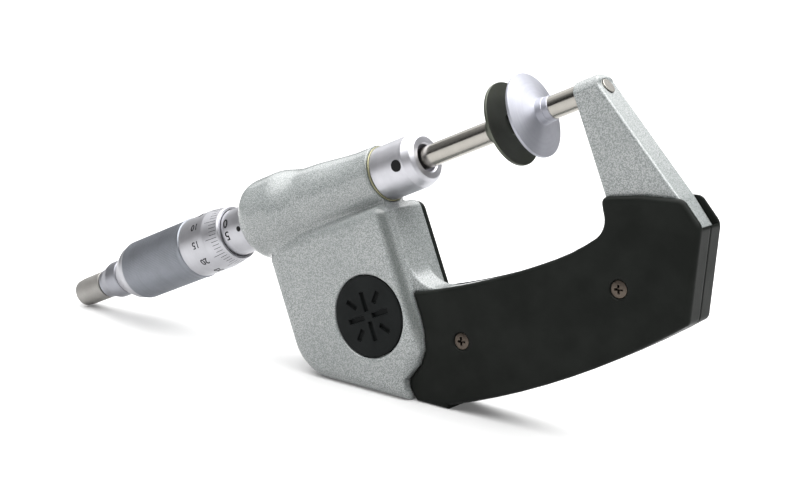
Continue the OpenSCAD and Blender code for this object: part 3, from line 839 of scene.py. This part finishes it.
piece("thimble_grip_knurled", lathe([
    (grip_x, GRIP_BORE), (grip_x, THIMBLE_R, 0.05), (grip_x + 0.35, 8.35, 0.15), (grip_x + 0.9, 8.33, 0.2),
    (grip_x + 1.3, 8.22), (grip_x + 1.7, 8.24), (grip_end - 0.9, 8.24), (grip_end - 0.5, 8.2, 0.2),
    (grip_end, 7.95, 0.1), (grip_end, GRIP_BORE)], turns=720, closed=True,
    wave=knurl(120, 0.07, grip_x + 1.3, grip_end - 0.7)), "thimble_grip")

piece("ratchet_neck_turned", lathe([
    (neck_x, 2.2), (neck_x, NECK_R - 0.15, 0.1), (neck_x + 0.4, NECK_R, 0.3), (neck_x + 4.2, NECK_R, 2),
    (neck_x + 7, 4.25, 2), (neck_x + 8.3, 4.1, 0.1), (neck_x + 8.4, 3.9), (neck_x + 8.4, 3.2),
    (neck_x + 5.5, 3.2),
    (neck_x + 5.5, 1.26), (neck_x + 2, 1.26), (neck_x + 2, 2.2)], closed=True), "ratchet_neck")

knob_x, knob_end = span("ratchet_knob")[0][0], span("ratchet_knob")[1][0]
piece("ratchet_knob_knurled", lathe([
    (knob_x, 2.95), (knob_x, 3.9, 0.1), (knob_x + 0.4, 4.0, 0.2), (knob_end - 1.8, 3.9),
    (knob_end - 0.5, 3.75), (knob_end, 3.72, 0.1), (knob_end, 2.9, 0.1), (knob_end - 0.3, 2.5),
    (knob_end - 3.55, 2.5),
    (knob_end - 3.55, 1.26), (knob_end - 4.5, 1.26), (knob_end - 4.5, 2.95)], turns=480, closed=True,
    wave=knurl(80, 0.05, knob_x + 0.5, knob_end - 0.9)), "ratchet_knob")


# Graduations: fifty lines, and a number at every fifth, cut round the thimble's taper
def taper_r(x):
    share = min(max((x - thimble_x - 0.5) / 5.1, 0), 1)
    return THIMBLE_FRONT_R + (THIMBLE_R - THIMBLE_FRONT_R) * share


def mark(x0, x1, angle, width=0.13, rise=0.015):
    """A thin line along the axis that lies on the thimble's surface."""
    points = []
    for x in (x0, x1):
        for lift in (-0.1, rise):
            for side in (-1, 1):
                a = angle + side * width / 2 / taper_r(x)
                points.append((x, (taper_r(x) + lift) * math.cos(a), (taper_r(x) + lift) * math.sin(a)))
    faces = [(0, 2, 3, 1), (4, 5, 7, 6), (0, 1, 5, 4), (2, 6, 7, 3), (0, 4, 6, 2), (1, 3, 7, 5)]
    return points, faces


def lettering(text, height):
    """Flat number of the given height, centred, in millimetres."""
    curve = bpy.data.curves.new("number", "FONT")
    curve.body = text
    curve.size = height * 1.35
    curve.align_x, curve.align_y = "CENTER", "CENTER"
    curve.extrude = 0.06
    curve.offset = 0.02
    curve.resolution_u = 4
    holder = bpy.data.objects.new("number", curve)
    mesh = bpy.data.meshes.new_from_object(holder)
    points = np.array([v.co for v in mesh.vertices])
    faces = [list(p.vertices) for p in mesh.polygons]
    bpy.data.objects.remove(holder)
    bpy.data.meshes.remove(mesh)
    bpy.data.curves.remove(curve)
    return points, faces


reading = gap / 0.5 % 1 * 50


def line_angle(line):
    """Angle of one of the fifty lines when the gap is as drawn; the datum line is at the front."""
    return math.pi - math.radians((line - reading) * 7.2)


lines = [mark(thimble_x + 0.9, thimble_x + (4.6 if i % 5 == 0 else 3.1), line_angle(i)) for i in range(50)]
numbers = [wrapped(lettering(str(i), 2.0), thimble_x + 8.4, line_angle(i), THIMBLE_R)
           for i in range(0, 50, 5)]
piece("thimble_graduations", gather(lines + numbers), None, "thimble", "black_steel")

datum = wrapped(brick((-13, -0.07, -0.1), (13, 0.07, 0.015)), 105, math.pi, SLEEVE_R)
ticks = []
for i in range(51):
    length = 2.4 if i % 10 == 0 else 1.7 if i % 2 == 0 else 1.2
    side = 1 if i % 2 == 0 else -1
    tick = brick((-0.06, min(0, side * length), -0.1), (0.06, max(0, side * length), 0.02))
    ticks.append(wrapped(tick, thimble_x - gap + i * 0.5, math.pi, SLEEVE_R))
sleeve_numbers = [wrapped(lettering(str(n), 1.7), thimble_x - gap + n, math.pi - 0.55, SLEEVE_R)
                  for n in (0, 5, 10, 15, 20, 25)]
rear_marks = [wrapped(lettering(t, 2.5), thimble_x - 1.9, math.radians(a), SLEEVE_R)
              for t, a in (("0", 26), ("5", -5))]
piece("sleeve_graduations", gather([datum] + ticks + sleeve_numbers + rear_marks), None, "frame",
      "black_steel")

# The spanner hole of the sleeve and the recess of the bush's screw, each a dark disc in its surface. The spanner
# hole's black disc is painted shade that stands in for the dark inside of the hole.
def dark_disc(at, surface_r, radius, depth, turns):
    return along_y(lathe([(surface_r - depth, 0), (surface_r - depth, radius), (surface_r + 0.02, radius),
                          (surface_r + 0.02, 0)], turns), at)


# Painted shade: a black disc where the spanner hole's dark inside would be.
piece("sleeve_spanner_hole_painted_shade", dark_disc(SPANNER_HOLE, SLEEVE_R, SPANNER_HOLE_R, 0.4, 32),
      None, "frame", "black_steel")
screw_low, screw_high = span("bush_screw")
screw_x = (screw_low[0] + screw_high[0]) / 2
piece("bush_screw_recess", dark_disc((screw_x, 0), BUSH_R, BUSH_SCREW_R, 0.6, 40), "bush_screw")


# Keys and display on the front
for name, x in zip(("mode_button", "zero_button", "hold_button"), KEY_XS):
    low, high = span(name)
    dome = [(low[1] + 0.12, 0), (low[1], 1.2, 6), (low[1] + 0.1, KEY_R, 0.35), (BLOCK_FRONT, KEY_R),
            (BLOCK_FRONT, KEY_R + 0.5), (high[1], KEY_R + 0.5), (high[1], 0)]
    piece(name + "_cap", along_y(lathe(dome, 64), (x, KEY_Z)), name)

SEGMENTS = {"0": "abcdef", "1": "bc", "2": "abged", "3": "abgcd", "4": "fgbc", "5": "afgcd",
            "6": "afgedc", "7": "abc", "8": "abcdefg", "9": "abcdfg"}
BARS = {"a": (0, 1, 1), "b": (1, 0.5, 0), "c": (1, -0.5, 0), "d": (0, -1, 1), "e": (-1, -0.5, 0),
        "f": (-1, 0.5, 0), "g": (0, 0, 1)}


def digit(symbol, x, z, width, height, y):
    """One seven-segment digit on the display glass, read from the front."""
    bars = []
    for name in SEGMENTS[symbol]:
        side, level, flat = BARS[name]
        cx, cz = x + side * width / 2, z + level * height / 2
        half = (width / 2 - 0.35, 0.3) if flat else (0.3, height / 4 - 0.3)
        bars.append(brick((cx - half[0], y - 0.05, cz - half[1]), (cx + half[0], y, cz + half[1])))
    return gather(bars)


glass_y = span("display_glass")[0][1]
value = f"{gap:.3f}"
digits = [digit(c, 54.5 + i * 5.2, -21, 2.9, 6.6, glass_y) for i, c in enumerate(value.replace(".", ""))]
point = brick((56.8, glass_y - 0.05, -24.6), (57.5, glass_y, -23.9))
piece("display_digits", gather(digits + [point]), None, "frame", "black_steel")

for name, part in frame["nodes"].items():
    for material_slot in part.material_slots:
        material_slot.material = materials[slot_of[name]]


# ---------------------------------------------------------------------------------------------
# Floor, light and camera
# ---------------------------------------------------------------------------------------------
FLOOR_COLOR = 0.5
FLOOR_GLOW = 0.13
FLOOR_HALF = 12.0


def pale_floor():
    """A plain pale floor, with a little light of its own that keeps the shadows soft."""
    material = bpy.data.materials.new("pale_floor")
    material.use_nodes = True
    shader = material.node_tree.nodes["Principled BSDF"]
    shader.inputs["Base Color"].default_value = (*[FLOOR_COLOR] * 3, 1)
    shader.inputs["Emission Color"].default_value = (1, 1, 1, 1)
    shader.inputs["Emission Strength"].default_value = FLOOR_GLOW
    shader.inputs["Roughness"].default_value = 0.6
    shader.inputs["Specular IOR Level"].default_value = 0.2
    mesh = bpy.data.meshes.new("floor")
    corners = [(x * FLOOR_HALF, y * FLOOR_HALF, 0) for x, y in ((-1, -1), (1, -1), (1, 1), (-1, 1))]
    mesh.from_pydata(corners, [], [(0, 1, 2, 3)])
    mesh.materials.append(material)
    floor = bpy.data.objects.new("floor", mesh)
    bpy.context.scene.collection.objects.link(floor)


def softbox(name, azimuth, elevation, size, power):
    """A soft light that looks at the middle of the object."""
    a, e = math.radians(azimuth), math.radians(elevation)
    direction = Vector((math.cos(a) * math.cos(e), math.sin(a) * math.cos(e), math.sin(e)))
    light = bpy.data.lights.new(name, "AREA")
    light.shape = "RECTANGLE"
    light.size, light.size_y = size
    light.energy = power
    made = bpy.data.objects.new(name, light)
    made.location = LIGHT_TARGET + direction * LIGHT_DISTANCE
    made.rotation_euler = direction.to_track_quat("Z", "Y").to_euler()
    bpy.context.scene.collection.objects.link(made)


def camera(target, azimuth, elevation, roll, distance, lens):
    a, e = math.radians(azimuth), math.radians(elevation)
    away = Vector((math.cos(a) * math.cos(e), math.sin(a) * math.cos(e), math.sin(e)))
    level = (-away).cross(Vector((0, 0, 1))).normalized()
    lift = level.cross(-away)
    turned_by = math.radians(roll)
    right = level * math.cos(turned_by) + lift * math.sin(turned_by)
    up = away.cross(right)
    data = bpy.data.cameras.new("camera")
    data.lens, data.sensor_width = lens, 36
    data.clip_start, data.clip_end = 0.01, 100
    made = bpy.data.objects.new("camera", data)
    made.matrix_world = Matrix((
        (right.x, up.x, away.x, target.x + away.x * distance),
        (right.y, up.y, away.y, target.y + away.y * distance),
        (right.z, up.z, away.z, target.z + away.z * distance),
        (0, 0, 0, 1)))
    bpy.context.scene.collection.objects.link(made)
    bpy.context.scene.camera = made


def studio():
    """A room that is bright overhead and dim at eye level, so the floor is evenly pale."""
    world = bpy.data.worlds.new("studio")
    world.use_nodes = True
    tree = world.node_tree
    height = node(tree, "SeparateXYZ", {0: node(tree, "TexCoord").outputs["Generated"]}).outputs["Z"]
    glow = node(tree, "MapRange", {"Value": height, "From Min": DIM_BELOW, "From Max": BRIGHT_ABOVE,
                                   "To Min": HORIZON, "To Max": ZENITH},
                interpolation_type="SMOOTHSTEP").outputs[0]
    tree.links.new(glow, tree.nodes["Background"].inputs["Strength"])
    tree.nodes["Background"].inputs["Color"].default_value = (1, 1, 1, 1)
    bpy.context.scene.world = world


HORIZON, ZENITH = 0.05, 5.2
DIM_BELOW, BRIGHT_ABOVE = 0.45, 0.9
LIGHT_TARGET = Vector((0, 0, 0.04))
LIGHT_DISTANCE = 0.9
pale_floor()
studio()
for light in (("top_light", 215, 62, (0.8, 0.8), 4.0), ("left_light", 30, 30, (0.4, 0.8), 0.2),
              ("right_light", 215, 30, (0.4, 0.8), 0.4), ("back_light", 300, 32, (1.4, 0.5), 3.0)):
    softbox(*light)
bpy.context.scene.view_settings.view_transform = "Standard"
camera(target=Vector((-0.01633, 0, 0.03481)), azimuth=125.752, elevation=11.915, roll=3.051,
       distance=0.3667, lens=67.57)
